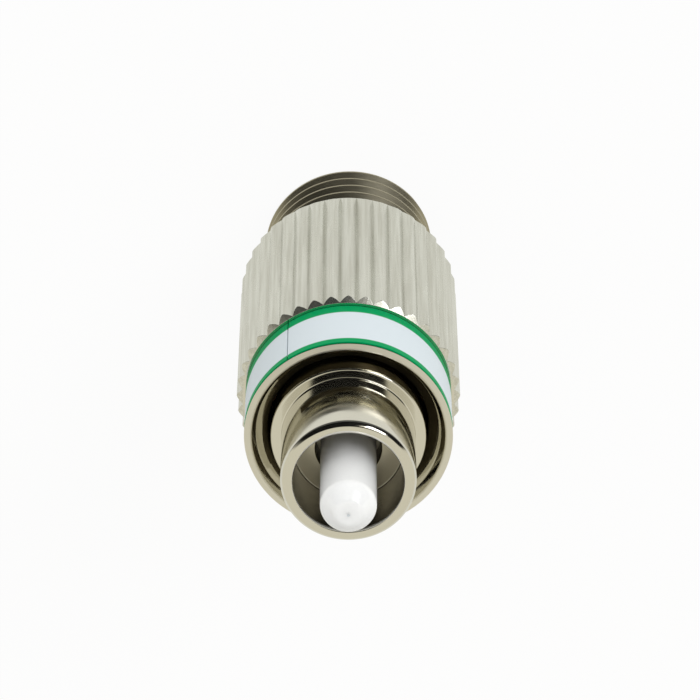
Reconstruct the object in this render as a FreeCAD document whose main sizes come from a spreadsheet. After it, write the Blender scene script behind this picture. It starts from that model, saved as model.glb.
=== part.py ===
import FreeCAD, Part
import os
import Sketcher

# Fibre optic attenuator: a plug with a knurled coupling nut at the top, a threaded jack at the bottom.
# All pieces are turned about one axis, +Z. The jack's mouth is at height 0 and the ferrule's tip is on top.
# The key of the plug and the key slot of the jack both point to +Y.

doc = FreeCAD.newDocument("attenuator")
sheet = doc.addObject("Spreadsheet::Sheet", "Sizes")

# Driving dimensions in millimetres: "_r" is a radius about the axis, the heights are above the jack's mouth.
sizes = {
    # plug shell
    "plug_rim": 23.75,
    "tube_r": 3.0,
    "tube_bore_r": 2.44,
    "tube_length": 4.15,
    "tube_round": 0.2,
    "tube_ease": 0.06,
    "tube_bevel": 0.09,
    "cavity_depth": 3.15,
    "web_thick": 1.2,
    "ferrule_hole_r": 1.46,
    "collar_r": 3.48,
    "collar_thick": 1.65,
    "collar_bevel": 0.08,
    "neck_r": 3.1,
    "chamber_r": 2.35,
    "spigot_r": 2.8,
    "spigot_end": 6.4,
    "key_half": 1.0,
    "key_foot_r": 2.7,
    "key_top_r": 3.42,
    "key_length": 2.0,
    "spline_half": 0.4,
    "spline_foot_r": 2.5,
    "spline_tip_r": 1.9,
    "spline_length": 1.9,
    # jack barrel
    "jack_length": 13.35,
    "thread_r": 4.0,
    "thread_end": 5.0,
    "mouth_bevel": 0.12,
    "relief_r": 3.5,
    "relief_width": 0.5,
    "jack_r": 3.9,
    "jack_bore_r": 3.03,
    "jack_depth": 4.75,
    "jack_web": 0.85,
    "web_hole_r": 2.34,
    "socket_r": 2.82,
    "jack_bevel": 0.15,
    "slot_half": 1.07,
    "slot_inner_r": 2.0,
    "slot_outer_r": 5.0,
    "slot_depth": 2.2,
    # sleeve holder and split sleeve
    "holder_low": 1.6,
    "holder_top": 11.9,
    "holder_r": 2.3,
    "holder_bevel": 0.2,
    "holder_lip": 0.7,
    "holder_mouth_r": 1.42,
    "holder_bore_r": 1.7,
    "holder_flange_r": 2.78,
    "holder_flange": 0.8,
    "sleeve_low": 2.35,
    "sleeve_length": 9.4,
    "sleeve_r": 1.62,
    "sleeve_bore_r": 1.27,
    "sleeve_bevel": 0.1,
    "sleeve_slit_half": 0.2,
    "sleeve_slit_reach": 2.0,
    # spring stop and spring
    "stop_r": 2.33,
    "stop_bore_r": 1.4,
    "stop_thick": 1.0,
    "spring_r": 1.95,
    "spring_wire_r": 0.2,
    "spring_pitch": 1.1,
    "spring_sides": 6,
    # ferrule, its flange and its fibre
    "ferrule_low": 7.1,
    "ferrule_tip": 26.65,
    "ferrule_r": 1.25,
    "cone_length": 0.75,
    "cone_end_r": 0.5,
    "cone_rise": 0.1,
    "polish_reach": 1.0,
    "polish_drop": 0.1405,
    "polish_clear": 1.0,
    "fibre_r": 0.0625,
    "fibre_hole_r": 0.063,
    "flange_gap": 0.02,
    "flange_r": 2.25,
    "flange_thick": 2.0,
    "flange_bevel": 0.2,
    "flange_bore_r": 1.25,
    "stub_r": 1.6,
    "stub_length": 2.0,
    "notch_half": 0.46,
    "notch_floor_r": 1.84,
    "notch_reach_r": 2.6,
    # coupling nut, its retaining ring and its label
    "nut_rear": 4.85,
    "nut_length": 14.7,
    "nut_bore_r": 4.1,
    "nut_thread_r": 3.6,
    "nut_shoulder": 14.0,
    "groove_r": 4.38,
    "groove_width": 0.7,
    "knurl_r": 5.1,
    "knurl_floor_r": 4.82,
    "valley_half": 0.62,
    "valley_rise": 0.4,
    "knurl_end": 15.75,
    "knurl_teeth": 40,
    "tooth_bevel": 0.17,
    "tooth_foot_r": 4.8,
    "rear_bevel": 0.35,
    "seat_r": 4.59,
    "lip_r": 4.69,
    "lip_thick": 0.1,
    "rim_bevel": 0.05,
    "mouth_r": 4.6,
    "sink_r": 4.25,
    "sink_depth": 0.35,
    "recess_r": 4.16,
    "recess_depth": 0.3,
    "lead_depth": 0.55,
    "ring_r": 4.33,
    "ring_bore_r": 3.25,
    "ring_thick": 0.6,
    "ring_gap_half": 0.8,
    "ring_gap_reach": 5.0,
    "label_low": 15.77,
    "label_width": 3.66,
    "label_thick": 0.08,
    "label_turn": 359.25,
    "seam_bearing": -54.0,
}

for row, (alias, amount) in enumerate(sizes.items(), start=1):
    sheet.set("A%d" % row, alias)
    sheet.set("B%d" % row, str(amount))
    sheet.setAlias("B%d" % row, alias)
doc.recompute()


def number(text):
    """The value of a sum of aliases such as "plug_rim - tube_length"."""
    total = 0.0
    sign = 1.0
    for word in text.split():
        if word == "-":
            sign = -1.0
        elif word == "+":
            sign = 1.0
        else:
            total += sign * sizes.get(word, 0.0)
    return total


def formula(text):
    """The same sum, as an expression on the sheet."""
    return " ".join(word if word in "+-" else "Sizes." + word for word in text.split())


def origin_item(body, role):
    return next(item for item in body.Origin.OriginFeatures if item.Role == role)


def pin(sketch, line, kind, text):
    """Holds the first point of a line at a distance from the sketch's origin."""
    if text == "0":
        axis = -2 if kind == "DistanceX" else -1
        sketch.addConstraint(Sketcher.Constraint("PointOnObject", line, 1, axis))
        return
    if text.startswith("- "):
        text = text[2:]
        rule = Sketcher.Constraint(kind, line, 1, -1, 1, number(text))
    else:
        rule = Sketcher.Constraint(kind, -1, 1, line, 1, number(text))
    index = sketch.addConstraint(rule)
    sketch.setExpression("Constraints[%d]" % index, formula(text))


def outline(body, name, role, corners, height=None):
    """A closed polygon on one of the body's planes; each corner is a pair of sums of aliases."""
    sketch = body.newObject("Sketcher::SketchObject", name)
    sketch.AttachmentSupport = (origin_item(body, role), [""])
    sketch.MapMode = "FlatFace"
    if height:
        sketch.setExpression("AttachmentOffset.Base.z", formula(height))
    points = [FreeCAD.Vector(number(across), number(up), 0) for across, up in corners]
    for line, point in enumerate(points):
        sketch.addGeometry(Part.LineSegment(point, points[(line + 1) % len(points)]), False)
    for line in range(len(points)):
        sketch.addConstraint(Sketcher.Constraint("Coincident", line, 2, (line + 1) % len(points), 1))
    for line, (across, up) in enumerate(corners):
        pin(sketch, line, "DistanceX", across)
        pin(sketch, line, "DistanceY", up)
    return sketch


def turned(name, corners, turn=None):
    """A body turned about +Z from its half section, given as pairs of radius and height."""
    body = doc.addObject("PartDesign::Body", name)
    body.Label = name
    section = outline(body, name + "_section", "XZ_Plane", corners)
    solid = body.newObject("PartDesign::Revolution", name + "_turning")
    solid.Profile = section
    solid.ReferenceAxis = (section, ["V_Axis"])
    if turn:
        solid.setExpression("Angle", formula(turn))
    body.Tip = solid
    doc.recompute()
    return body


def bar(half, inner, outer):
    """A rectangle on the +Y side, seen along Z."""
    return [("- " + half, inner), (half, inner), (half, outer), ("- " + half, outer)]


def milled(body, name, half, inner, outer, height=None, depth=None):
    """Cuts a straight slot on the +Y side, upwards from a height or from 0, or right through."""
    before = body.Shape.Volume
    slot = outline(body, name + "_outline", "XY_Plane", bar(half, inner, outer), height)
    cut = body.newObject("PartDesign::Pocket", name)
    cut.Profile = slot
    cut.Reversed = True
    if depth:
        cut.setExpression("Length", formula(depth))
    else:
        cut.Type = "ThroughAll"
    body.Tip = cut
    doc.recompute()
    if body.Shape.Volume >= before:
        raise RuntimeError(name + " removes nothing")


def raised(body, name, half, inner, outer, height, length):
    """Adds a straight bar on the +Y side, upwards from a height."""
    foot = outline(body, name + "_outline", "XY_Plane", bar(half, inner, outer), height)
    pad = body.newObject("PartDesign::Pad", name)
    pad.Profile = foot
    pad.setExpression("Length", formula(length))
    body.Tip = pad
    doc.recompute()


# Plug shell: tube, collar, neck and the spigot that screws into the jack barrel.
# A web closes the tube's cavity and leaves a hole round the ferrule.
collar_face = "plug_rim - tube_length"
collar_back = collar_face + " - collar_thick"
cavity_floor = "plug_rim - cavity_depth"
web_back = cavity_floor + " - web_thick"
plug_shell = turned("plug_shell", [
    ("chamber_r", "spigot_end"),
    ("spigot_r", "spigot_end"),
    ("spigot_r", "jack_length"),
    ("neck_r", "jack_length"),
    ("neck_r", collar_back),
    ("collar_r", collar_back),
    ("collar_r", collar_face + " - collar_bevel"),
    ("collar_r - collar_bevel", collar_face),
    ("tube_r", collar_face),
    ("tube_r", "plug_rim - tube_round"),
    ("tube_r - tube_ease", "plug_rim - tube_ease"),
    ("tube_r - tube_round", "plug_rim"),
    ("tube_bore_r + tube_bevel", "plug_rim"),
    ("tube_bore_r", "plug_rim - tube_bevel"),
    ("tube_bore_r", cavity_floor),
    ("ferrule_hole_r", cavity_floor),
    ("ferrule_hole_r", web_back),
    ("chamber_r", web_back),
])
raised(plug_shell, "plug_key", "key_half", "key_foot_r", "key_top_r", collar_face, "key_length")
raised(plug_shell, "chamber_spline", "spline_half", "spline_tip_r", "spline_foot_r",
       web_back + " - spline_length", "spline_length")

# Jack barrel: threaded outside, bored for a plug's tube, with an inner web and a socket for the spigot.
web_top = "jack_depth + jack_web"
jack_barrel = turned("jack_barrel", [
    ("jack_bore_r + jack_bevel", "0"),
    ("thread_r - mouth_bevel", "0"),
    ("thread_r", "mouth_bevel"),
    ("thread_r", "thread_end"),
    ("relief_r", "thread_end"),
    ("relief_r", "thread_end + relief_width"),
    ("jack_r", "thread_end + relief_width"),
    ("jack_r", "jack_length"),
    ("socket_r", "jack_length"),
    ("socket_r", web_top),
    ("web_hole_r", web_top),
    ("web_hole_r", "jack_depth"),
    ("jack_bore_r", "jack_depth"),
    ("jack_bore_r", "jack_bevel"),
])
milled(jack_barrel, "key_slot", "slot_half", "slot_inner_r", "slot_outer_r", depth="slot_depth")

# Sleeve holder: a tube with a lip at the mouth; its flange is clamped between the jack's web and the spigot.
lip_top = "holder_low + holder_lip"
sleeve_holder = turned("sleeve_holder", [
    ("holder_mouth_r + holder_bevel", "holder_low"),
    ("holder_r - holder_bevel", "holder_low"),
    ("holder_r", "holder_low + holder_bevel"),
    ("holder_r", web_top),
    ("holder_flange_r", web_top),
    ("holder_flange_r", web_top + " + holder_flange"),
    ("holder_r", web_top + " + holder_flange"),
    ("holder_r", "holder_top"),
    ("holder_bore_r", "holder_top"),
    ("holder_bore_r", lip_top),
    ("holder_mouth_r", lip_top),
    ("holder_mouth_r", "holder_low + holder_bevel"),
])

# Split sleeve: the slit tube that lines up the two ferrules.
sleeve_top = "sleeve_low + sleeve_length"
split_sleeve = turned("split_sleeve", [
    ("sleeve_bore_r + sleeve_bevel", "sleeve_low"),
    ("sleeve_r", "sleeve_low"),
    ("sleeve_r", sleeve_top),
    ("sleeve_bore_r + sleeve_bevel", sleeve_top),
    ("sleeve_bore_r", sleeve_top + " - sleeve_bevel"),
    ("sleeve_bore_r", "sleeve_low + sleeve_bevel"),
])
milled(split_sleeve, "sleeve_slit", "sleeve_slit_half", "0", "sleeve_slit_reach")

# Spring stop: a plain ring on top of the sleeve holder.
stop_top = "holder_top + stop_thick"
spring_stop = turned("spring_stop", [
    ("stop_bore_r", "holder_top"),
    ("stop_r", "holder_top"),
    ("stop_r", stop_top),
    ("stop_bore_r", stop_top),
])

# Ferrule flange: a collar and stub pressed on the ferrule, kept from turning by the shell's spline.
flange_top = web_back + " - flange_gap"
flange_back = flange_top + " - flange_thick"
ferrule_flange = turned("ferrule_flange", [
    ("flange_bore_r", flange_back + " - stub_length"),
    ("stub_r", flange_back + " - stub_length"),
    ("stub_r", flange_back),
    ("flange_r", flange_back),
    ("flange_r", flange_top + " - flange_bevel"),
    ("flange_r - flange_bevel", flange_top),
    ("flange_bore_r", flange_top),
])
milled(ferrule_flange, "flange_notch", "notch_half", "notch_floor_r", "notch_reach_r",
       flange_back, "flange_thick")

# Ferrule: a long ceramic pin with a coned and angle-polished end at the plug and at the jack.
ferrule = turned("ferrule", [
    ("fibre_hole_r", "ferrule_low - cone_rise"),
    ("cone_end_r", "ferrule_low - cone_rise"),
    ("ferrule_r", "ferrule_low - cone_rise + cone_length"),
    ("ferrule_r", "ferrule_tip + cone_rise - cone_length"),
    ("cone_end_r", "ferrule_tip + cone_rise"),
    ("fibre_hole_r", "ferrule_tip + cone_rise"),
])
for end, level, away in (("plug_polish", "ferrule_tip", " + "), ("jack_polish", "ferrule_low", " - ")):
    uncut = ferrule.Shape.Volume
    wedge = outline(ferrule, end + "_outline", "YZ_Plane", [
        ("- polish_reach", level + " - polish_drop"),
        ("polish_reach", level + " + polish_drop"),
        ("polish_reach", level + away + "polish_clear"),
        ("- polish_reach", level + away + "polish_clear"),
    ])
    polish = ferrule.newObject("PartDesign::Pocket", end)
    polish.Profile = wedge
    polish.SideType = "Symmetric"
    polish.setExpression("Length", formula("polish_reach + polish_reach"))
    ferrule.Tip = polish
    doc.recompute()
    if ferrule.Shape.Volume >= uncut:
        raise RuntimeError(end + " removes nothing")

# Attenuating fibre: the doped glass fibre that fills the ferrule's hole from end to end.
attenuating_fibre = doc.addObject("Part::Cylinder", "attenuating_fibre")
attenuating_fibre.Label = "attenuating_fibre"
attenuating_fibre.setExpression("Radius", formula("fibre_r"))
attenuating_fibre.setExpression("Height", formula("ferrule_tip - ferrule_low"))
attenuating_fibre.setExpression("Placement.Base.z", formula("ferrule_low"))

# Ferrule spring: a helix of wire between the stop and the flange; the wire's section is a hexagon.
spring_low = stop_top + " + spring_wire_r"
spring_path = doc.addObject("Part::Helix", "spring_path")
spring_path.setExpression("Radius", formula("spring_r"))
spring_path.setExpression("Pitch", formula("spring_pitch"))
spring_rise = flange_back + " - holder_top - stop_thick - spring_wire_r - spring_wire_r"
spring_path.setExpression("Height", formula(spring_rise))
spring_path.setExpression("Placement.Base.z", formula(spring_low))
spring_section = doc.addObject("Part::RegularPolygon", "spring_section")
spring_section.setExpression("Polygon", formula("spring_sides"))
spring_section.setExpression("Circumradius", formula("spring_wire_r"))
upright = FreeCAD.Rotation(FreeCAD.Vector(1, 0, 0), 90)
corner_down = FreeCAD.Rotation(FreeCAD.Vector(0, 0, 1), 90)
spring_section.Placement = FreeCAD.Placement(FreeCAD.Vector(0, 0, 0), upright * corner_down)
spring_section.setExpression("Placement.Base.x", formula("spring_r"))
spring_section.setExpression("Placement.Base.z", formula(spring_low))
ferrule_spring = doc.addObject("Part::Sweep", "ferrule_spring")
ferrule_spring.Label = "ferrule_spring"
ferrule_spring.Sections = [spring_section]
ferrule_spring.Spine = (spring_path, [])
ferrule_spring.Solid = True
ferrule_spring.Frenet = True
doc.recompute()

# Coupling nut: threaded in front, wide behind, with a groove for the ring and a sunk seat for the label.
# Its V knurl has bevelled tooth ends, and one crest points to -Y.
nut_front = "nut_rear + nut_length"
sink_floor = nut_front + " - sink_depth"
recess_floor = sink_floor + " - recess_depth"
coupling_nut = turned("coupling_nut", [
    ("nut_bore_r", "nut_rear"),
    ("tooth_foot_r", "nut_rear"),
    ("knurl_r", "nut_rear + rear_bevel"),
    ("knurl_r", "knurl_end - tooth_bevel"),
    ("tooth_foot_r", "knurl_end"),
    ("seat_r", "knurl_end"),
    ("seat_r", nut_front + " - lip_thick"),
    ("lip_r", nut_front + " - lip_thick"),
    ("lip_r", nut_front + " - rim_bevel"),
    ("lip_r - rim_bevel", nut_front),
    ("mouth_r", nut_front),
    ("sink_r", sink_floor),
    ("recess_r", recess_floor),
    ("nut_thread_r", recess_floor + " - lead_depth"),
    ("nut_thread_r", "nut_shoulder"),
    ("groove_r", "nut_shoulder"),
    ("groove_r", "nut_shoulder - groove_width"),
    ("nut_bore_r", "nut_shoulder - groove_width"),
])
plain_nut = coupling_nut.Shape.Volume
valley = outline(coupling_nut, "knurl_valley_outline", "XY_Plane", [
    ("knurl_floor_r", "0"),
    ("knurl_floor_r + valley_rise", "- valley_half"),
    ("knurl_floor_r + valley_rise", "valley_half"),
])
knurl_valley = coupling_nut.newObject("PartDesign::Pocket", "knurl_valley")
knurl_valley.Profile = valley
knurl_valley.Reversed = True
knurl_valley.Type = "ThroughAll"
coupling_nut.Tip = knurl_valley
doc.recompute()
knurl = coupling_nut.newObject("PartDesign::PolarPattern", "knurl")
knurl.Originals = [knurl_valley]
knurl.Axis = (origin_item(coupling_nut, "Z_Axis"), [""])
knurl.Angle = 360
knurl.setExpression("Occurrences", formula("knurl_teeth"))
coupling_nut.Tip = knurl
doc.recompute()
if coupling_nut.Shape.Volume >= plain_nut:
    raise RuntimeError("the knurl removes nothing")
coupling_nut.setExpression("Placement.Rotation.Angle", "180 / Sizes.knurl_teeth")

# Retaining ring: an open ring in the nut's groove, caught between the collar and the jack barrel.
ring_top = "jack_length + ring_thick"
retaining_ring = turned("retaining_ring", [
    ("ring_bore_r", "jack_length"),
    ("ring_r", "jack_length"),
    ("ring_r", ring_top),
    ("ring_bore_r", ring_top),
])
milled(retaining_ring, "ring_gap", "ring_gap_half", "0", "ring_gap_reach")

# Label band: a thin wrapped film on the nut's seat, with a narrow seam where its two ends meet.
label_top = "label_low + label_width"
label_band = turned("label_band", [
    ("seat_r", "label_low"),
    ("seat_r + label_thick", "label_low"),
    ("seat_r + label_thick", label_top),
    ("seat_r", label_top),
], turn="label_turn")
label_band.setExpression("Placement.Rotation.Angle", formula("seam_bearing"))

pieces = [
    plug_shell, jack_barrel, sleeve_holder, split_sleeve, spring_stop, ferrule_spring,
    ferrule_flange, ferrule, attenuating_fibre, coupling_nut, retaining_ring, label_band,
]
doc.recompute()
for item in doc.Objects:
    if "Invalid" in item.State or "Error" in item.State:
        raise RuntimeError("%s failed: %s" % (item.Label, item.State))
for piece in pieces:
    if piece.Shape.isNull() or not piece.Shape.isValid() or len(piece.Shape.Solids) != 1:
        raise RuntimeError(piece.Label + " is not one sound solid")

os.makedirs("parts", exist_ok=True)
for piece in pieces:
    piece.Shape.exportStep("parts/%s.step" % piece.Label)
    print("%-18s %9.3f mm3" % (piece.Label, piece.Shape.Volume))
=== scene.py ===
import math

import bmesh
import bpy
import numpy as np
from mathutils import Matrix, Vector


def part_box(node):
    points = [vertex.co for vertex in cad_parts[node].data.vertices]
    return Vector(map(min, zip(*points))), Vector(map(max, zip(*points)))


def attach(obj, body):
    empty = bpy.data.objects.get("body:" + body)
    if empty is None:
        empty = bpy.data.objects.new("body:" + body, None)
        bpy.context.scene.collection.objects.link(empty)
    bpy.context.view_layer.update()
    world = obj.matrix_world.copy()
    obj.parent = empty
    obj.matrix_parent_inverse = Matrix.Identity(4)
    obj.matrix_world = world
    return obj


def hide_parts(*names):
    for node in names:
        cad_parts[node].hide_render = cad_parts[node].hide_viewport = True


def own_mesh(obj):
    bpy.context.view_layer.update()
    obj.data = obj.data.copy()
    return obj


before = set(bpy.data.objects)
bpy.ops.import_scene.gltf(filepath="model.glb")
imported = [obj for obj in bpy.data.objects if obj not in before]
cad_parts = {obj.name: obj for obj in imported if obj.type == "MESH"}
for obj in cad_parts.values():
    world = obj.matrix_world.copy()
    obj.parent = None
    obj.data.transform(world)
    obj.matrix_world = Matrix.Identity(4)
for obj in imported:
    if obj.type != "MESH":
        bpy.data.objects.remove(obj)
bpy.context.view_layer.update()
mm = 0.001  # sizes below are in millimetres, the scene is in metres
turn = 2 * math.pi
print("frame loaded:", len(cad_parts), "nodes")


def ends(node):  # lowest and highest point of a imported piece, in millimetres above the jack's mouth
    low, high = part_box(node)
    return low[2] / mm, high[2] / mm


# Surfaces

surface = {"reach": 0.42,  # a corner's curve takes at most this share of its shorter side
           "beyond": 1.15,  # the extra point on each side of a curve, as a share of the curve's own reach
           "least": 1e-9,  # keeps a side without length from dividing by nothing
           "weld": 0.0003}  # points nearer than this become one


def softSection(corners, edge, bearing=np.zeros(1), steps=4):
    # a corner is (radius, height), each one number or one for every bearing, and its rounding if not edge;
    # it turns into a short curve, (1-t)^2 a + 2t(1-t) corner + t^2 b, where a and b lie on its two sides,
    # and one more point beyond a and b keeps the flats flat in the light
    same = np.ones_like(bearing)
    p = np.array([[corner[0] * same, corner[1] * same] for corner in corners]).transpose(0, 2, 1)
    size = np.array([corner[2] if len(corner) > 2 else edge for corner in corners])[:, None]
    back = np.roll(p, 1, 0) - p
    ahead = np.roll(p, -1, 0) - p
    backLong = np.maximum(np.linalg.norm(back, axis=-1), surface["least"])
    aheadLong = np.maximum(np.linalg.norm(ahead, axis=-1), surface["least"])
    back = back / backLong[..., None]
    ahead = ahead / aheadLong[..., None]
    halfAngle = np.arccos(np.clip((back * ahead).sum(-1), -1, 1)) / 2
    longest = surface["reach"] * np.minimum(backLong, aheadLong)
    cut = np.minimum(size / np.tan(halfAngle), longest)[..., None]
    t = np.linspace(0, 1, steps).reshape(-1, 1, 1, 1)
    a = p + back * cut
    b = p + ahead * cut
    curve = (1 - t) ** 2 * a + 2 * t * (1 - t) * p + t ** 2 * b
    before = p + back * cut * surface["beyond"]
    after = p + ahead * cut * surface["beyond"]
    rows = np.concatenate([[before], curve, [after]])
    return np.swapaxes(rows, 0, 1)  # corner, step, bearing, radius and height


def roundSection(corners, edge, steps=4):  # a section that is alike at every bearing
    return softSection(corners, edge, steps=steps).reshape(-1, 1, 2)


def tubeSection(sizes, low, high):  # a plain tube with its four edges rounded
    return roundSection([(sizes["boreR"], low), (sizes["outerR"], low), (sizes["outerR"], high),
                         (sizes["boreR"], high)], sizes["edge"])


def wrapFaces(index, capped):  # four-sided faces on a grid of points whose rows close on themselves
    index = np.vstack([index, index[:1]])
    quads = np.stack([index[:-1, :-1], index[:-1, 1:], index[1:, 1:], index[1:, :-1]], -1)
    faces = quads.reshape(-1, 4).tolist()
    if capped:
        faces += [index[:-1, 0].tolist(), index[-2::-1, -1].tolist()]
    return faces


def carryRound(name, section, bearing, finishes, capped=False):
    # a closed section carried round the axis: x = r cos b, y = r sin b, z = height;
    # the first and last bearing meet, or each gets a cap
    rows = section.shape[0]
    columns = bearing.shape[-1]
    radius = np.broadcast_to(section[..., 0], (rows, columns))
    height = np.broadcast_to(section[..., 1], (rows, columns))
    points = np.stack([radius * np.cos(bearing), radius * np.sin(bearing), height], -1)
    faces = wrapFaces(np.arange(rows * columns).reshape(rows, columns), capped)
    return makeMesh(name, points.reshape(-1, 3), faces, finishes)


def threadRows(low, high, pitch, bearing, shape):
    # rows that follow the helix, height = pitch (step + bearing / turn), held between the two ends;
    # the radius is read from the thread's own shape at each point's place in the pitch
    first = math.floor(low / pitch) - 2  # turns to spare at both ends, which the clip below flattens
    last = math.ceil(high / pitch) + 1
    places, outs = np.array(shape).T
    steps = (np.arange(first, last)[:, None] + places).reshape(-1, 1)
    across = (bearing - bearing[0]) / turn
    height = np.clip(pitch * (steps + across), low, high)
    place = np.mod(height / pitch - across, 1)
    radius = np.interp(place, places, outs, period=1)
    return np.stack([radius, height], -1)


def gapBearings(radius, halfGap, middle, columns):
    # bearings from one side of a straight gap to the other, whose edge is at arcsin(half gap / radius)
    edge = np.arcsin(halfGap / radius)
    return middle + edge + (turn - 2 * edge) * np.linspace(0, 1, columns)


def makeMesh(name, points, faces, finishes):
    mesh = bpy.data.meshes.new(name)
    mesh.from_pydata((points * mm).tolist(), [], faces)
    work = bmesh.new()
    work.from_mesh(mesh)
    bmesh.ops.remove_doubles(work, verts=work.verts, dist=surface["weld"] * mm)
    bmesh.ops.recalc_face_normals(work, faces=work.faces)
    work.to_mesh(mesh)
    work.free()
    for finish in finishes:
        mesh.materials.append(finish)
    piece = bpy.data.objects.new(name, mesh)
    bpy.context.scene.collection.objects.link(piece)
    return piece


def blockShape(piece, low, high, operation):  # joins a block to a piece or cuts it out
    corners = np.array([[x, y, z] for x in (0, 1) for y in (0, 1) for z in (0, 1)])
    points = np.array(low) + corners * (np.array(high) - np.array(low))
    faces = [[0, 1, 3, 2], [4, 6, 7, 5], [0, 4, 5, 1], [2, 3, 7, 6], [0, 2, 6, 4], [1, 5, 7, 3]]
    block = makeMesh("block", points, faces, [])
    tool = piece.modifiers.new("block", "BOOLEAN")
    tool.operation = operation
    tool.solver = "EXACT"
    tool.object = block
    shaped = bpy.data.meshes.new_from_object(piece.evaluated_get(bpy.context.evaluated_depsgraph_get()))
    piece.modifiers.clear()
    piece.data = shaped
    bpy.data.objects.remove(block)


def faceCentres(piece):  # how far each face lies from the axis, and how high, in millimetres
    centres = np.empty(len(piece.data.polygons) * 3)
    piece.data.polygons.foreach_get("center", centres)
    centres = centres.reshape(-1, 3) / mm
    return np.hypot(centres[:, 0], centres[:, 1]), centres[:, 2]


def paint(piece, zones):  # the first zone that holds a face gives its finish, or else slot 0 does
    slots = list(piece.data.materials)
    finish = np.select([held for _, held in zones], [slots.index(metal) for metal, _ in zones], 0)
    piece.data.polygons.foreach_set("material_index", finish.astype(np.int32))


def settle(piece, node, body, crease=50):  # smooth shading, and the piece takes its node's place
    mesh = piece.data
    mesh.polygons.foreach_set("use_smooth", np.ones(len(mesh.polygons), bool))
    mesh.set_sharp_from_angle(angle=math.radians(crease))
    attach(piece, body)
    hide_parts(node)
    mesh.calc_loop_triangles()
    print("made", piece.name, len(mesh.loop_triangles), "triangles")


# Materials

def linear(code):  # sRGB hex to the linear colour that the shaders take
    parts = np.array([int(code[i:i + 2], 16) for i in (0, 2, 4)]) / 255
    value = np.where(parts <= 0.04045, parts / 12.92, ((parts + 0.055) / 1.055) ** 2.4)
    return (*value.tolist(), 1.0)


def addNode(tree, kind, values=None, links=None, **settings):
    # one node: settings are its own, values go on its sockets, links come from other nodes' outputs
    node = tree.nodes.new(kind)
    for key, value in settings.items():
        setattr(node, key, value)
    for key, value in (values or {}).items():
        node.inputs[key].default_value = value
    for key, output in (links or {}).items():
        tree.links.new(output, node.inputs[key])
    return node


def newMaterial(name, base, metallic, roughness):
    material = bpy.data.materials.new(name)
    material.use_nodes = True
    shader = material.node_tree.nodes["Principled BSDF"]
    shader.inputs["Base Color"].default_value = linear(base)
    shader.inputs["Metallic"].default_value = metallic
    shader.inputs["Roughness"].default_value = roughness
    return material, material.node_tree, shader


lathe = {"detail": 3.0, "grain": 0.6, "strength": 0.35, "cloud": 1.4, "cloudDetail": 4.0,
         "cloudLow": 0.3, "cloudHigh": 0.7}


def turnedMetal(name, base, feed, depth, low, high):
    # rings left by the turning tool: noise over (radius, height) only, so it runs round the axis,
    # and a slow cloud that takes the roughness from low to high
    metal, tree, shader = newMaterial(name, base, 1.0, (low + high) / 2)
    place = addNode(tree, "ShaderNodeTexCoord").outputs["Object"]
    flat = addNode(tree, "ShaderNodeVectorMath", {1: (1, 1, 0)}, {0: place}, operation="MULTIPLY")
    radius = addNode(tree, "ShaderNodeVectorMath", None, {0: flat.outputs[0]}, operation="LENGTH")
    parts = addNode(tree, "ShaderNodeSeparateXYZ", None, {0: place})
    ring = addNode(tree, "ShaderNodeCombineXYZ", None,
                   {"X": radius.outputs["Value"], "Y": parts.outputs["Z"]})
    marks = addNode(tree, "ShaderNodeTexNoise",
                    {"Scale": 1 / (feed * mm), "Detail": lathe["detail"], "Roughness": lathe["grain"]},
                    {"Vector": ring.outputs[0]}, noise_dimensions="2D")
    bump = addNode(tree, "ShaderNodeBump", {"Strength": lathe["strength"], "Distance": depth * mm},
                   {"Height": marks.outputs["Fac"]})
    tree.links.new(bump.outputs[0], shader.inputs["Normal"])
    cloud = addNode(tree, "ShaderNodeTexNoise",
                    {"Scale": 1 / (lathe["cloud"] * mm), "Detail": lathe["cloudDetail"]}, {"Vector": place})
    rough = addNode(tree, "ShaderNodeMapRange",
                    {"From Min": lathe["cloudLow"], "From Max": lathe["cloudHigh"],
                     "To Min": low, "To Max": high},
                    {"Value": cloud.outputs["Fac"]})
    tree.links.new(rough.outputs[0], shader.inputs["Roughness"])
    return metal


# nickel plate on turned brass: a warm, pale mirror with fine rings from the lathe
polishedNickel = turnedMetal("nickel_plate_turned", "DAD8CF", feed=0.05, depth=0.0005, low=0.05, high=0.13)

# the same plate over the knurl: satin, with streaks that the rolling leaves along the teeth
streak = {"width": 0.16, "stretch": 0.03, "detail": 3.0, "grain": 0.6, "low": 0.35, "high": 0.65,
          "dark": "CACAC3", "light": "DEDFDA"}
satinNickel = turnedMetal("nickel_plate_knurled", streak["light"], feed=0.09, depth=0.0008,
                          low=0.25, high=0.31)
tree = satinNickel.node_tree
shader = tree.nodes["Principled BSDF"]
place = addNode(tree, "ShaderNodeTexCoord").outputs["Object"]
drawn = addNode(tree, "ShaderNodeVectorMath", {1: (1, 1, streak["stretch"])}, {0: place},
                operation="MULTIPLY")
streaks = addNode(tree, "ShaderNodeTexNoise",
                  {"Scale": 1 / (streak["width"] * mm), "Detail": streak["detail"],
                   "Roughness": streak["grain"]},
                  {"Vector": drawn.outputs[0]})
depth = addNode(tree, "ShaderNodeMapRange", {"From Min": streak["low"], "From Max": streak["high"]},
                {"Value": streaks.outputs["Fac"]})
tone = addNode(tree, "ShaderNodeMixRGB",
               {"Color1": linear(streak["dark"]), "Color2": linear(streak["light"])},
               {"Fac": depth.outputs[0]})
tree.links.new(tone.outputs[0], shader.inputs["Base Color"])

# the same plate on the nut's rim: matt from handling, so it stays pale against the dark mouth
mattNickel = turnedMetal("nickel_plate_rim", "DDDBD2", feed=0.05, depth=0.0006, low=0.38, high=0.46)

# the plate on the jack's thread: duller, and coloured darker and a little yellower than the plate
# elsewhere, which is painted shade
shadedThreadNickel = turnedMetal("nickel_plate_threaded_shaded", "A8A28E", feed=0.06, depth=0.0008, low=0.31, high=0.39)

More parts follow.
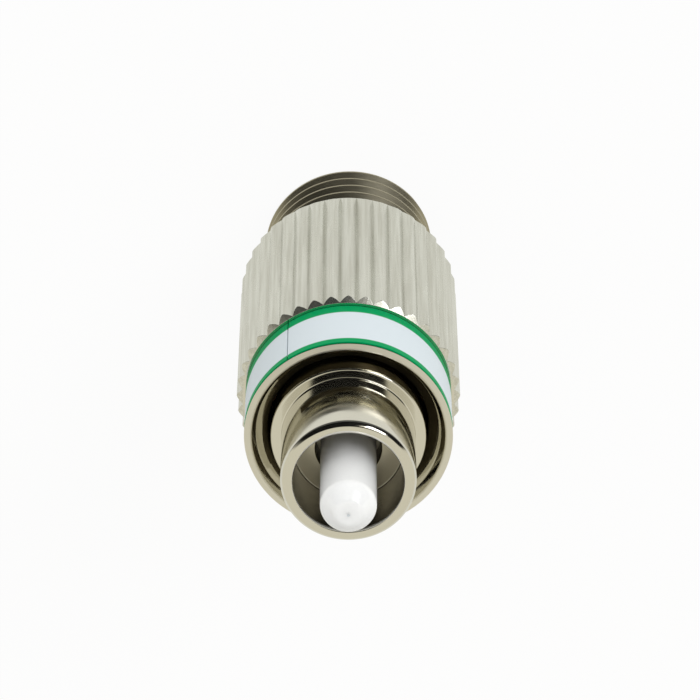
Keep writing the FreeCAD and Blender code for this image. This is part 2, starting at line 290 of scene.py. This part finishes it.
# the plate on the floor inside the tube and on the flange: dull, so it mirrors nothing sharply
dullNickel = turnedMetal("nickel_plate_inside", "C6C2B4", feed=0.07, depth=0.0008, low=0.26, high=0.36)

# the plate on the tube's inner wall, coloured dark grey as painted shade, so the hollow goes dark
shadedBoreNickel = turnedMetal("nickel_plate_bore_shaded", "767268", feed=0.07, depth=0.0008, low=0.18, high=0.28)

# the nut's inner thread and the ferrule's hole: brass coloured dark brown, which is painted shade in these
# hollows
shadedBrass = turnedMetal("brass_painted_shade", "57503F", feed=0.07, depth=0.0008, low=0.34, high=0.46)

# brass turned for the inside: yellow, cut bright and left bare
turnedBrass = turnedMetal("brass_turned", "C9A763", feed=0.06, depth=0.0008, low=0.2, high=0.32)

# phosphor bronze strip: redder and duller than the brass
springBronze = turnedMetal("phosphor_bronze", "B98A5E", feed=0.04, depth=0.0005, low=0.25, high=0.38)

# stainless spring wire: drawn, grey and bright
springSteel = turnedMetal("stainless_wire", "B9BABD", feed=0.03, depth=0.0004, low=0.18, high=0.3)

# zirconia: a dense white ceramic, ground and polished, with a little light inside it
ceramic = {"lightDepth": 0.8, "grain": 0.12, "detail": 2.0, "dark": "F5F8FB", "light": "FAFDFF"}
zirconia, tree, shader = newMaterial("zirconia_ground", ceramic["light"], 0.0, 0.12)
shader.inputs["IOR"].default_value = 1.8
shader.inputs["Subsurface Weight"].default_value = 0.5
shader.inputs["Subsurface Radius"].default_value = [ceramic["lightDepth"] * mm] * 3
shader.inputs["Subsurface Scale"].default_value = 1.0
place = addNode(tree, "ShaderNodeTexCoord").outputs["Object"]
grain = addNode(tree, "ShaderNodeTexNoise",
                {"Scale": 1 / (ceramic["grain"] * mm), "Detail": ceramic["detail"]},
                {"Vector": place})
tone = addNode(tree, "ShaderNodeMixRGB",
               {"Color1": linear(ceramic["dark"]), "Color2": linear(ceramic["light"])},
               {"Fac": grain.outputs["Fac"]})
tree.links.new(tone.outputs[0], shader.inputs["Base Color"])

# silica fibre: clear glass a hair wide
silica, tree, shader = newMaterial("silica_fibre", "E6EEF2", 0.0, 0.05)
shader.inputs["Transmission Weight"].default_value = 0.15
shader.inputs["IOR"].default_value = 1.46

# printed polyester film: white with a green edge on both sides, a soft gloss over a faint grain
film = {"rearEdge": 0.62, "frontEdge": 0.5, "soft": 0.03, "white": "D8E2E9", "green": "009C5C",
        "grain": 0.07, "detail": 2.0, "strength": 0.2, "depth": 0.001}
labelFilm, tree, shader = newMaterial("printed_film", film["white"], 0.0, 0.42)
shader.inputs["Specular IOR Level"].default_value = 0.05
labelLow, labelHigh = ends("label_band")
rear = (labelLow + film["rearEdge"]) * mm
front = (labelHigh - film["frontEdge"]) * mm
soft = film["soft"] * mm
place = addNode(tree, "ShaderNodeTexCoord").outputs["Object"]
parts = addNode(tree, "ShaderNodeSeparateXYZ", None, {0: place})
rearInk = addNode(tree, "ShaderNodeMapRange",
                  {"From Min": rear - soft, "From Max": rear + soft, "To Min": 1.0, "To Max": 0.0},
                  {"Value": parts.outputs["Z"]})
frontInk = addNode(tree, "ShaderNodeMapRange", {"From Min": front - soft, "From Max": front + soft},
                   {"Value": parts.outputs["Z"]})
ink = addNode(tree, "ShaderNodeMath", None, {0: rearInk.outputs[0], 1: frontInk.outputs[0]},
              operation="MAXIMUM")
colour = addNode(tree, "ShaderNodeMixRGB",
                 {"Color1": linear(film["white"]), "Color2": linear(film["green"])},
                 {"Fac": ink.outputs[0]})
tree.links.new(colour.outputs[0], shader.inputs["Base Color"])
grain = addNode(tree, "ShaderNodeTexNoise", {"Scale": 1 / (film["grain"] * mm), "Detail": film["detail"]},
                {"Vector": place})
bump = addNode(tree, "ShaderNodeBump", {"Strength": film["strength"], "Distance": film["depth"] * mm},
               {"Height": grain.outputs["Fac"]})
tree.links.new(bump.outputs[0], shader.inputs["Normal"])
print("materials ready")

# Coupling nut: V knurl, sunk seat for the label, countersunk mouth and an inner thread
nut = {"teeth": 40, "knurlR": 5.09, "valleyR": 4.82, "crestEase": 0.08, "knurlEnd": 15.75, "footR": 4.8,
       "toothBevel": 0.17, "rearBevel": 0.6, "edge": 0.025,
       "seatR": 4.59, "lipR": 4.69, "lipThick": 0.12, "lipRound": 0.015, "crownDrop": 0.05, "crown": 0.12,
       "mouthR": 4.36, "sinkR": 4.26, "sinkDepth": 0.2, "recessR": 4.16, "recessDepth": 0.2,
       "minorR": 3.6, "pitch": 0.75, "leadDepth": 0.55, "runOut": 0.5, "threadStart": 0.1,
       "threadStop": 0.02, "shoulder": 14.0, "grooveR": 4.38, "grooveWidth": 0.7, "boreR": 4.1,
       "paintedShadeR": 3.9, "margin": 0.02}
# the points across one tooth, as shares of its turn
toothPlaces = np.array([-0.5, -0.47, -0.43, -0.36, -0.2, -0.04, 0, 0.04, 0.2, 0.36, 0.43, 0.47])
# one turn of the thread: place in the pitch, and depth from the minor radius
nutThread = [(0.0, 0.0), (0.1, 0.0), (0.14, 0.02), (0.43, 0.4), (0.5, 0.43), (0.57, 0.4), (0.86, 0.02),
             (0.9, 0.0)]
nutRear, nutFront = ends("coupling_nut")
toothTurn = turn / nut["teeth"]
bearing = ((np.arange(nut["teeth"])[:, None] + 0.5) * toothTurn + toothTurn * toothPlaces).reshape(-1)
bearing = np.append(bearing, bearing[0] + turn)
# a tooth's flank is halfway between a straight V and a round hump: with s from 0 at the crest to 1 at the
# valley, r = knurlR - depth (s + s^2) / 2, and the crest is eased over a few hundredths of a millimetre
fromCrest = np.abs(np.mod(bearing / toothTurn + 0.5, 1) - 0.5) * 2
fromCrest = np.sqrt(fromCrest ** 2 + nut["crestEase"] ** 2) / math.sqrt(1 + nut["crestEase"] ** 2)
knurl = nut["knurlR"] - (nut["knurlR"] - nut["valleyR"]) * (fromCrest + fromCrest ** 2) / 2
aboveFoot = (knurl - nut["footR"]) / (nut["knurlR"] - nut["footR"])
sinkFloor = nutFront - nut["sinkDepth"]
recessFloor = sinkFloor - nut["recessDepth"]
grooveLow = nut["shoulder"] - nut["grooveWidth"]
beforeThread = [
    (nut["boreR"], nutRear),
    (nut["footR"], nutRear),
    (knurl, nutRear + aboveFoot * nut["rearBevel"]),
    (knurl, nut["knurlEnd"] - aboveFoot * nut["toothBevel"]),
    (nut["footR"], nut["knurlEnd"]),
    (nut["seatR"], nut["knurlEnd"]),
    (nut["seatR"], nutFront - nut["lipThick"]),
    (nut["lipR"], nutFront - nut["crownDrop"], nut["lipRound"]),
    (nut["mouthR"], nutFront, nut["crown"]),  # the mouth's edge is well rounded
    (nut["sinkR"], sinkFloor),
    (nut["recessR"], recessFloor),
]
afterThread = [
    (nut["minorR"], nut["shoulder"]),
    (nut["grooveR"], nut["shoulder"]),
    (nut["grooveR"], grooveLow),
    (nut["boreR"], grooveLow),
]
section = softSection(beforeThread + afterThread, nut["edge"], bearing)
threadLow = nut["shoulder"] + nut["threadStart"]
threadShape = [(place, nut["minorR"] + deep) for place, deep in nutThread]
thread = threadRows(threadLow, recessFloor - nut["threadStop"], nut["pitch"], bearing, threadShape)[::-1]
fade = np.clip((thread[..., 1] - threadLow) / nut["runOut"], 0, 1)  # the thread fades before the groove
leadSlope = (nut["recessR"] - nut["minorR"]) / nut["leadDepth"]
leadIn = nut["recessR"] - leadSlope * (recessFloor - thread[..., 1])  # and starts in the mouth's cone
thread[..., 0] = np.maximum(nut["minorR"] + (thread[..., 0] - nut["minorR"]) * fade, leadIn)
outerRows = section[:len(beforeThread)].reshape(-1, len(bearing), 2)
innerRows = section[len(beforeThread):].reshape(-1, len(bearing), 2)
couplingNut = carryRound("coupling_nut_body", np.concatenate([outerRows, thread, innerRows]), bearing,
                         [polishedNickel, satinNickel, shadedBrass, mattNickel])
out, height = faceCentres(couplingNut)
onLip = (out > nut["sinkR"] + nut["margin"]) & (height > nutFront - nut["crownDrop"])
onKnurl = out > nut["footR"]
inThread = out < nut["paintedShadeR"]
# painted shade: the faces of the inner thread take the dark brown colour
paint(couplingNut, [(mattNickel, onLip), (satinNickel, onKnurl), (shadedBrass, inThread)])
settle(couplingNut, "coupling_nut", "nut")

# Label: a thin film wrapped on the nut's seat, its two ends a hair apart
label = {"boreR": 4.59, "outerR": 4.67, "halfGap": 0.03, "seamBearing": -54.4, "edge": 0.02,
         "frontGap": 0.14, "columns": 241}
section = tubeSection(label, labelLow, labelHigh - label["frontGap"])
seam = math.radians(label["seamBearing"])
bearing = gapBearings(section[..., 0], label["halfGap"], seam, label["columns"])
labelBand = carryRound("label_film_band", section, bearing, [labelFilm], capped=True)
settle(labelBand, "label_band", "nut")

# Plug shell: tube, collar, neck and spigot in one turning, with the key on the tube and the spline inside
shell = {"tubeR": 3.0, "boreR": 2.44, "tubeLength": 4.15, "rimRound": 0.3, "boreBevel": 0.15,
         "tubeFoot": 0.06, "cavityDepth": 3.15, "webThick": 1.2, "holeR": 1.46, "holeEdge": 0.05,
         "collarR": 3.48, "collarThick": 1.65, "collarRound": 0.12, "neckR": 3.1, "neckEnd": 13.35,
         "chamberR": 2.35, "spigotR": 2.8, "spigotRound": 0.15, "edge": 0.02,
         "keyHalf": 1.0, "keyRootR": 2.7, "keyTopR": 3.42, "keySunk": 0.13, "keyLength": 2.0,
         "splineHalf": 0.4, "splineTipR": 1.9, "splineRootR": 2.5, "splineSunk": 0.3, "splineLength": 1.9,
         "margin": 0.01, "steps": 7, "columns": 257, "crease": 30}
spigotEnd, rim = ends("plug_shell")
collarFace = rim - shell["tubeLength"]
collarBack = collarFace - shell["collarThick"]
cavityFloor = rim - shell["cavityDepth"]
webBack = cavityFloor - shell["webThick"]
rimCut = shell["rimRound"] * (1 - math.tan(turn / 16))  # the rim's round edge is two corners of 45 degrees
section = roundSection([
    (shell["chamberR"], spigotEnd),
    (shell["spigotR"], spigotEnd, shell["spigotRound"]),
    (shell["spigotR"], shell["neckEnd"]),
    (shell["neckR"], shell["neckEnd"]),
    (shell["neckR"], collarBack),
    (shell["collarR"], collarBack, shell["collarRound"]),
    (shell["collarR"], collarFace, shell["collarRound"]),
    (shell["tubeR"], collarFace, shell["tubeFoot"]),
    (shell["tubeR"], rim - rimCut, shell["rimRound"]),
    (shell["tubeR"] - rimCut, rim, shell["rimRound"]),
    (shell["boreR"], rim, shell["boreBevel"]),
    (shell["boreR"], cavityFloor, shell["holeEdge"]),
    (shell["holeR"], cavityFloor, shell["holeEdge"]),
    (shell["holeR"], webBack),
    (shell["chamberR"], webBack),
], shell["edge"], shell["steps"])
bearing = np.linspace(0, turn, shell["columns"])
plugShell = carryRound("plug_shell_turning", section, bearing,
                       [polishedNickel, dullNickel, shadedBoreNickel, shadedBrass])
blockShape(plugShell, (-shell["keyHalf"], shell["keyRootR"], collarFace - shell["keySunk"]),
           (shell["keyHalf"], shell["keyTopR"], collarFace + shell["keyLength"]), "UNION")
blockShape(plugShell, (-shell["splineHalf"], shell["splineTipR"], webBack - shell["splineLength"]),
           (shell["splineHalf"], shell["splineRootR"], webBack + shell["splineSunk"]), "UNION")
out, height = faceCentres(plugShell)
inside = (out < shell["boreR"] + shell["margin"]) & (height < rim - 2 * shell["boreBevel"])
onWall = inside & (height > cavityFloor + shell["holeEdge"])
inHole = inside & (out < shell["holeR"] + shell["holeEdge"])
# painted shade: the hole's wall takes the dark brown colour and the tube's inner wall the dark grey one
paint(plugShell, [(shadedBrass, inHole), (shadedBoreNickel, onWall), (dullNickel, inside)])
settle(plugShell, "plug_shell", "housing", shell["crease"])

# Jack barrel: outer thread, key slot, bore for the mating plug
jack = {"threadR": 4.0, "rootR": 3.58, "pitch": 0.75, "firstGroove": 0.63, "grooveHalf": 0.328,
        "crestEase": 0.02, "rootEase": 0.03, "threadEnd": 5.0, "mouthBevel": 0.12, "reliefR": 3.5,
        "reliefWidth": 0.5, "barrelR": 3.9, "boreR": 3.03, "depth": 4.75, "web": 0.85, "webHoleR": 2.34,
        "socketR": 2.82, "bevel": 0.15, "edge": 0.03, "slotHalf": 1.07, "slotDepth": 2.2, "slotFrom": 2.0,
        "slotTo": 5.0, "slotBelow": 1.0, "columns": 193}
jackLow, jackHigh = ends("jack_barrel")
bearing = np.linspace(0, turn, jack["columns"]) - turn / 4
reliefTop = jack["threadEnd"] + jack["reliefWidth"]
webTop = jack["depth"] + jack["web"]
section = softSection([
    (jack["boreR"] + jack["bevel"], jackLow),
    (jack["threadR"], jack["threadEnd"]),  # the thread takes this corner's place
    (jack["reliefR"], jack["threadEnd"]),
    (jack["reliefR"], reliefTop),
    (jack["barrelR"], reliefTop),
    (jack["barrelR"], jackHigh),
    (jack["socketR"], jackHigh),
    (jack["socketR"], webTop),
    (jack["webHoleR"], webTop),
    (jack["webHoleR"], jack["depth"]),
    (jack["boreR"], jack["depth"]),
    (jack["boreR"], jackLow + jack["bevel"]),
], jack["edge"], bearing)
# a groove's two flanks are straight; crest and root are eased, by as much of the pitch as of a millimetre
groove = jack["firstGroove"] / jack["pitch"]
wide = jack["grooveHalf"] / jack["pitch"]
crestEase = jack["crestEase"]
rootEase = jack["rootEase"]
threadShape = [
    (groove - wide - crestEase, jack["threadR"]),
    (groove - wide + crestEase, jack["threadR"] - crestEase),
    (groove - rootEase, jack["rootR"] + rootEase),
    (groove, jack["rootR"] + rootEase / 2),
    (groove + rootEase, jack["rootR"] + rootEase),
    (groove + wide - crestEase, jack["threadR"] - crestEase),
    (groove + wide + crestEase, jack["threadR"]),
]
thread = threadRows(jackLow, jack["threadEnd"], jack["pitch"], bearing, threadShape)
thread[..., 0] = np.minimum(thread[..., 0], jack["threadR"] - jack["mouthBevel"] + thread[..., 1])
section = np.concatenate([section[0], thread, section[2:].reshape(-1, len(bearing), 2)])
jackBarrel = carryRound("jack_barrel_turning", section, bearing, [shadedThreadNickel])
blockShape(jackBarrel, (-jack["slotHalf"], jack["slotFrom"], -jack["slotBelow"]),
           (jack["slotHalf"], jack["slotTo"], jack["slotDepth"]), "DIFFERENCE")
settle(jackBarrel, "jack_barrel", "housing")

# Sleeve holder: a brass tube with a lip at its mouth and a flange on the jack's web
holder = {"lip": 0.7, "mouthR": 1.42, "outerR": 2.3, "boreR": 1.7, "flangeR": 2.78, "flange": 0.8,
          "bevel": 0.2, "edge": 0.03, "columns": 161}
holderLow, holderHigh = ends("sleeve_holder")
flangeTop = webTop + holder["flange"]
section = roundSection([
    (holder["mouthR"] + holder["bevel"], holderLow),
    (holder["outerR"] - holder["bevel"], holderLow),
    (holder["outerR"], holderLow + holder["bevel"]),
    (holder["outerR"], webTop),
    (holder["flangeR"], webTop),
    (holder["flangeR"], flangeTop),
    (holder["outerR"], flangeTop),
    (holder["outerR"], holderHigh),
    (holder["boreR"], holderHigh),
    (holder["boreR"], holderLow + holder["lip"]),
    (holder["mouthR"], holderLow + holder["lip"]),
    (holder["mouthR"], holderLow + holder["bevel"]),
], holder["edge"])
bearing = np.linspace(0, turn, holder["columns"])
sleeveHolder = carryRound("sleeve_holder_tube", section, bearing, [turnedBrass])
settle(sleeveHolder, "sleeve_holder", "housing")

# Split sleeve: the slit ceramic tube in the holder
sleeve = {"boreR": 1.27, "outerR": 1.62, "halfSlit": 0.2, "edge": 0.06, "columns": 121}
section = tubeSection(sleeve, *ends("split_sleeve"))
bearing = gapBearings(section[..., 0], sleeve["halfSlit"], turn / 4, sleeve["columns"])
splitSleeve = carryRound("split_sleeve_tube", section, bearing, [zirconia], capped=True)
settle(splitSleeve, "split_sleeve", "housing")

# Retaining ring, open on the side away from the camera
ring = {"boreR": 3.25, "outerR": 4.33, "halfGap": 0.8, "edge": 0.06, "seatGap": 0.02, "columns": 181}
ringLow, ringHigh = ends("retaining_ring")
ringTop = ringHigh - ring["seatGap"]  # a hair short of the collar when the nut is full forward
section = tubeSection(ring, ringLow, ringTop)
bearing = gapBearings(section[..., 0], ring["halfGap"], turn / 4, ring["columns"])
retainingRing = carryRound("retaining_ring_open", section, bearing, [springBronze], capped=True)
settle(retainingRing, "retaining_ring", "nut_carrier")

# Spring stop: the ring under the spring
stop = {"boreR": 1.4, "outerR": 2.33, "edge": 0.05, "columns": 129}
section = tubeSection(stop, *ends("spring_stop"))
bearing = np.linspace(0, turn, stop["columns"])
springStop = carryRound("spring_stop_ring", section, bearing, [turnedBrass])
settle(springStop, "spring_stop", "housing")

# Ferrule flange with the notch that rides on the shell's spline
flange = {"boreR": 1.25, "stubR": 1.6, "outerR": 2.25, "thick": 2.0, "edge": 0.05, "notchHalf": 0.46,
          "notchFloorR": 1.84, "notchTo": 2.6, "notchPast": 0.2, "columns": 129}
flangeLow, flangeHigh = ends("ferrule_flange")
flangeBack = flangeHigh - flange["thick"]
section = roundSection([
    (flange["boreR"], flangeLow),
    (flange["stubR"], flangeLow),
    (flange["stubR"], flangeBack),
    (flange["outerR"], flangeBack),
    (flange["outerR"], flangeHigh),
    (flange["boreR"], flangeHigh),
], flange["edge"])
bearing = np.linspace(0, turn, flange["columns"])
ferruleFlange = carryRound("ferrule_flange_collar", section, bearing, [dullNickel])
blockShape(ferruleFlange, (-flange["notchHalf"], flange["notchFloorR"], flangeBack - flange["notchPast"]),
           (flange["notchHalf"], flange["notchTo"], flangeHigh + flange["notchPast"]), "DIFFERENCE")
settle(ferruleFlange, "ferrule_flange", "ferrule_assembly")

# Ferrule: ground pin, coned and polished at an angle at both ends
pin = {"low": 7.1, "tip": 26.65, "radius": 1.25, "holeR": 0.063, "coneEndR": 0.6, "slant": 0.1405,
       "holeRound": 0.004, "endRound": 0.5, "shoulderRound": 0.8, "steps": 10, "columns": 161}
bearing = np.linspace(0, turn, pin["columns"])
lean = pin["slant"] * np.sin(bearing)  # the polished plane: height = middle + slant y
tipR = pin["coneEndR"] / (1 + lean)  # where that plane meets the cone
lowR = pin["coneEndR"] / (1 - lean)
coneRise = pin["radius"] - pin["coneEndR"]
section = softSection([
    (pin["holeR"], pin["low"] + lean * pin["holeR"]),
    (lowR, pin["low"] + lean * lowR, pin["endRound"]),
    (pin["radius"], pin["low"] + coneRise, pin["shoulderRound"]),
    (pin["radius"], pin["tip"] - coneRise, pin["shoulderRound"]),
    (tipR, pin["tip"] + lean * tipR, pin["endRound"]),
    (pin["holeR"], pin["tip"] + lean * pin["holeR"]),
], pin["holeRound"], bearing, pin["steps"])
ferrulePin = carryRound("ferrule_pin", section.reshape(-1, len(bearing), 2), bearing, [zirconia])
settle(ferrulePin, "ferrule", "ferrule_assembly")

# Spring: wire carried along a helix whose first and last turns lie close
spring = {"radius": 1.95, "wireR": 0.2, "turns": 5.6, "closedTurns": 0.9, "closedPitch": 0.4, "stroke": 0.6,
          "points": 400, "sides": 12}
springLow, springHigh = ends("ferrule_spring")
along = np.linspace(0, spring["turns"], spring["points"])[:, None]
opened = np.clip(np.minimum(along, spring["turns"] - along) / spring["closedTurns"], 0, 1)
climb = np.cumsum(opened * (1 - spring["closedPitch"]) + spring["closedPitch"], axis=0)
climb = (climb - climb[0]) / (climb[-1] - climb[0])
middle = springLow + spring["wireR"] + climb * (springHigh - springLow - 2 * spring["wireR"])
aroundWire = np.linspace(0, turn, spring["sides"] + 1)[None, :-1]
out = spring["radius"] + spring["wireR"] * np.cos(aroundWire)
points = np.stack([out * np.cos(along * turn), out * np.sin(along * turn),
                   middle + spring["wireR"] * np.sin(aroundWire)], -1).reshape(-1, 3)
index = np.arange(len(points)).reshape(spring["points"], spring["sides"])
ferruleSpring = makeMesh("ferrule_spring_wire", points, wrapFaces(index.T, True), [springSteel])
settle(ferruleSpring, "ferrule_spring", "housing")
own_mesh(ferruleSpring)

# Fibre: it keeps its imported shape
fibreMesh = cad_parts["attenuating_fibre"].data
fibreMesh.materials.clear()
fibreMesh.materials.append(silica)
print("pieces made")

# Studio: white table, white dome that is dark about the lens in reflections, one soft lamp at the right
scene = bpy.context.scene
scene.view_settings.view_transform = "Standard"
studio = {"floorHalf": 1500, "poolInner": 16, "poolOuter": 36, "poolFar": 0.05, "glow": 0.92,
          "floorSeen": "FFFFFF", "floorMirrored": "F1F0E6",
          "dome": 0.8, "domeFront": 1.05, "domeBehind": 0.55,
          "skyLight": "FFFEFB", "skyMirrored": "FFFAE6", "patch": "161614",
          "lampAt": (-250, -300, 330), "lampPower": 0.63, "lampSize": 200}

# the table glows white to the camera, and in reflections as a painted pool of light that fades towards the
# lens, with a painted warmer tint; it keeps its shadow
floorMaterial, tree, shader = newMaterial("white_table", "F4F4F2", 0.0, 0.8)
path = addNode(tree, "ShaderNodeLightPath")
place = addNode(tree, "ShaderNodeTexCoord").outputs["Object"]
away = addNode(tree, "ShaderNodeVectorMath", {1: (0, -1, 0)}, {0: place}, operation="DOT_PRODUCT")
pool = addNode(tree, "ShaderNodeMapRange",
               {"From Min": studio["poolInner"] * mm, "From Max": studio["poolOuter"] * mm,
                "To Min": 1.0, "To Max": studio["poolFar"]},
               {"Value": away.outputs["Value"]}, interpolation_type="SMOOTHSTEP")
poolGlow = addNode(tree, "ShaderNodeMath", None, {0: path.outputs["Is Camera Ray"], 1: pool.outputs[0]},
                 operation="MAXIMUM")
seen = path.outputs["Is Camera Ray"]
for ray in ("Is Glossy Ray", "Is Transmission Ray"):
    either = addNode(tree, "ShaderNodeMath", None, {0: seen, 1: path.outputs[ray]}, operation="MAXIMUM")
    seen = either.outputs[0]
share = addNode(tree, "ShaderNodeMath", {1: studio["glow"]}, {0: seen}, operation="MULTIPLY")
tint = addNode(tree, "ShaderNodeMixRGB",
               {"Color1": linear(studio["floorMirrored"]), "Color2": linear(studio["floorSeen"])},
               {"Fac": path.outputs["Is Camera Ray"]})
glow = addNode(tree, "ShaderNodeEmission", None, {"Color": tint.outputs[0], "Strength": poolGlow.outputs[0]})
mixed = addNode(tree, "ShaderNodeMixShader", None,
                {0: share.outputs[0], 1: shader.outputs[0], 2: glow.outputs[0]})
tree.links.new(mixed.outputs[0], tree.nodes["Material Output"].inputs["Surface"])
half = studio["floorHalf"]
points = np.array([[-half, -half, 0], [half, -half, 0], [half, half, 0], [-half, half, 0]])
table = makeMesh("table_top", points, [[0, 1, 2, 3]], [floorMaterial])

world = bpy.data.worlds.new("studio")
world.use_nodes = True
scene.world = world
tree = world.node_tree
path = addNode(tree, "ShaderNodeLightPath")
mirrored = path.outputs["Is Glossy Ray"]
place = addNode(tree, "ShaderNodeTexCoord").outputs["Generated"]
flipped = addNode(tree, "ShaderNodeVectorMath", {1: (-1, -1, 1)}, {0: place}, operation="MULTIPLY")
parts = addNode(tree, "ShaderNodeSeparateXYZ", None, {0: flipped.outputs[0]})
toRight = parts.outputs["X"]
toLens = parts.outputs["Y"]
upward = parts.outputs["Z"]
side = addNode(tree, "ShaderNodeMath", None, {0: toRight, 1: toLens}, operation="ARCTAN2").outputs[0]
# soft steps across the dome: what is measured, where a step begins and ends, its value before and after
steps = {
    "windowLeft": (side, 0.26, 0.34, 0.0, 1.0),
    "windowTop": (upward, 0.83, 0.87, 1.0, 0.0),
    "windowFoot": (upward, 0.6, 0.68, 0.0, 1.0),
    "patchLeft": (side, -1.6, -1.1, 0.0, 1.0),
    "patchBack": (toLens, 0.1, 0.22, 0.0, 1.0),
    "daylight": (toLens, -0.3, 0.7, studio["domeBehind"], studio["domeFront"]),
}
step = {}
for name, (measure, begin, end, before, after) in steps.items():
    step[name] = addNode(tree, "ShaderNodeMapRange",
                         {"From Min": begin, "From Max": end, "To Min": before, "To Max": after},
                         {"Value": measure}, interpolation_type="SMOOTHSTEP").outputs[0]
window = step["windowLeft"]  # a bright window in the dark patch, at the right
for factor in (step["windowTop"], step["windowFoot"]):
    window = addNode(tree, "ShaderNodeMath", None, {0: window, 1: factor}, operation="MULTIPLY").outputs[0]
shade = addNode(tree, "ShaderNodeMath", {0: 1.0}, {1: window}, operation="SUBTRACT").outputs[0]
for factor in (step["patchLeft"], step["patchBack"], mirrored):
    shade = addNode(tree, "ShaderNodeMath", None, {0: shade, 1: factor}, operation="MULTIPLY").outputs[0]
tint = addNode(tree, "ShaderNodeMixRGB",
               {"Color1": linear(studio["skyLight"]), "Color2": linear(studio["skyMirrored"])},
               {"Fac": mirrored})
sky = addNode(tree, "ShaderNodeMixRGB", {"Color2": linear(studio["patch"])},
              {"Fac": shade, "Color1": tint.outputs[0]})
strength = addNode(tree, "ShaderNodeMix", {"B": studio["dome"]},
                   {"Factor": mirrored, "A": step["daylight"]})
strength = addNode(tree, "ShaderNodeMix", {"B": 1.0},
                   {"Factor": path.outputs["Is Camera Ray"], "A": strength.outputs[0]})
background = tree.nodes["Background"]
tree.links.new(sky.outputs[0], background.inputs["Color"])
tree.links.new(strength.outputs[0], background.inputs["Strength"])

lamp = bpy.data.lights.new("soft_box", "AREA")
lamp.energy = studio["lampPower"]
lamp.size = studio["lampSize"] * mm
lampObject = bpy.data.objects.new("soft_box", lamp)
lampAt = Vector(studio["lampAt"]) * mm
lampObject.matrix_world = Matrix.Translation(lampAt) @ lampAt.to_track_quat("Z", "Y").to_matrix().to_4x4()
scene.collection.objects.link(lampObject)

# Camera: looks down on the plug's end from the -Y side, with the jack's end up in the picture
lens = {"tilt": 27.5, "focal": 234.5, "sensor": 36.0, "at": (-0.0702, -97.52, 198.46),
        "near": 10, "far": 10000}
tilt = math.radians(lens["tilt"])
right = Vector((-1, 0, 0))
up = Vector((0, -math.cos(tilt), -math.sin(tilt)))
back = Vector((0, -math.sin(tilt), math.cos(tilt)))
camera = bpy.data.cameras.new("camera")
camera.lens = lens["focal"]
camera.sensor_width = lens["sensor"]
camera.clip_start = lens["near"] * mm
camera.clip_end = lens["far"] * mm
cameraObject = bpy.data.objects.new("camera", camera)
axes = Matrix((right, up, back)).transposed().to_4x4()
cameraObject.matrix_world = Matrix.Translation(Vector(lens["at"]) * mm) @ axes
scene.collection.objects.link(cameraObject)
scene.camera = cameraObject
print("studio and camera set")
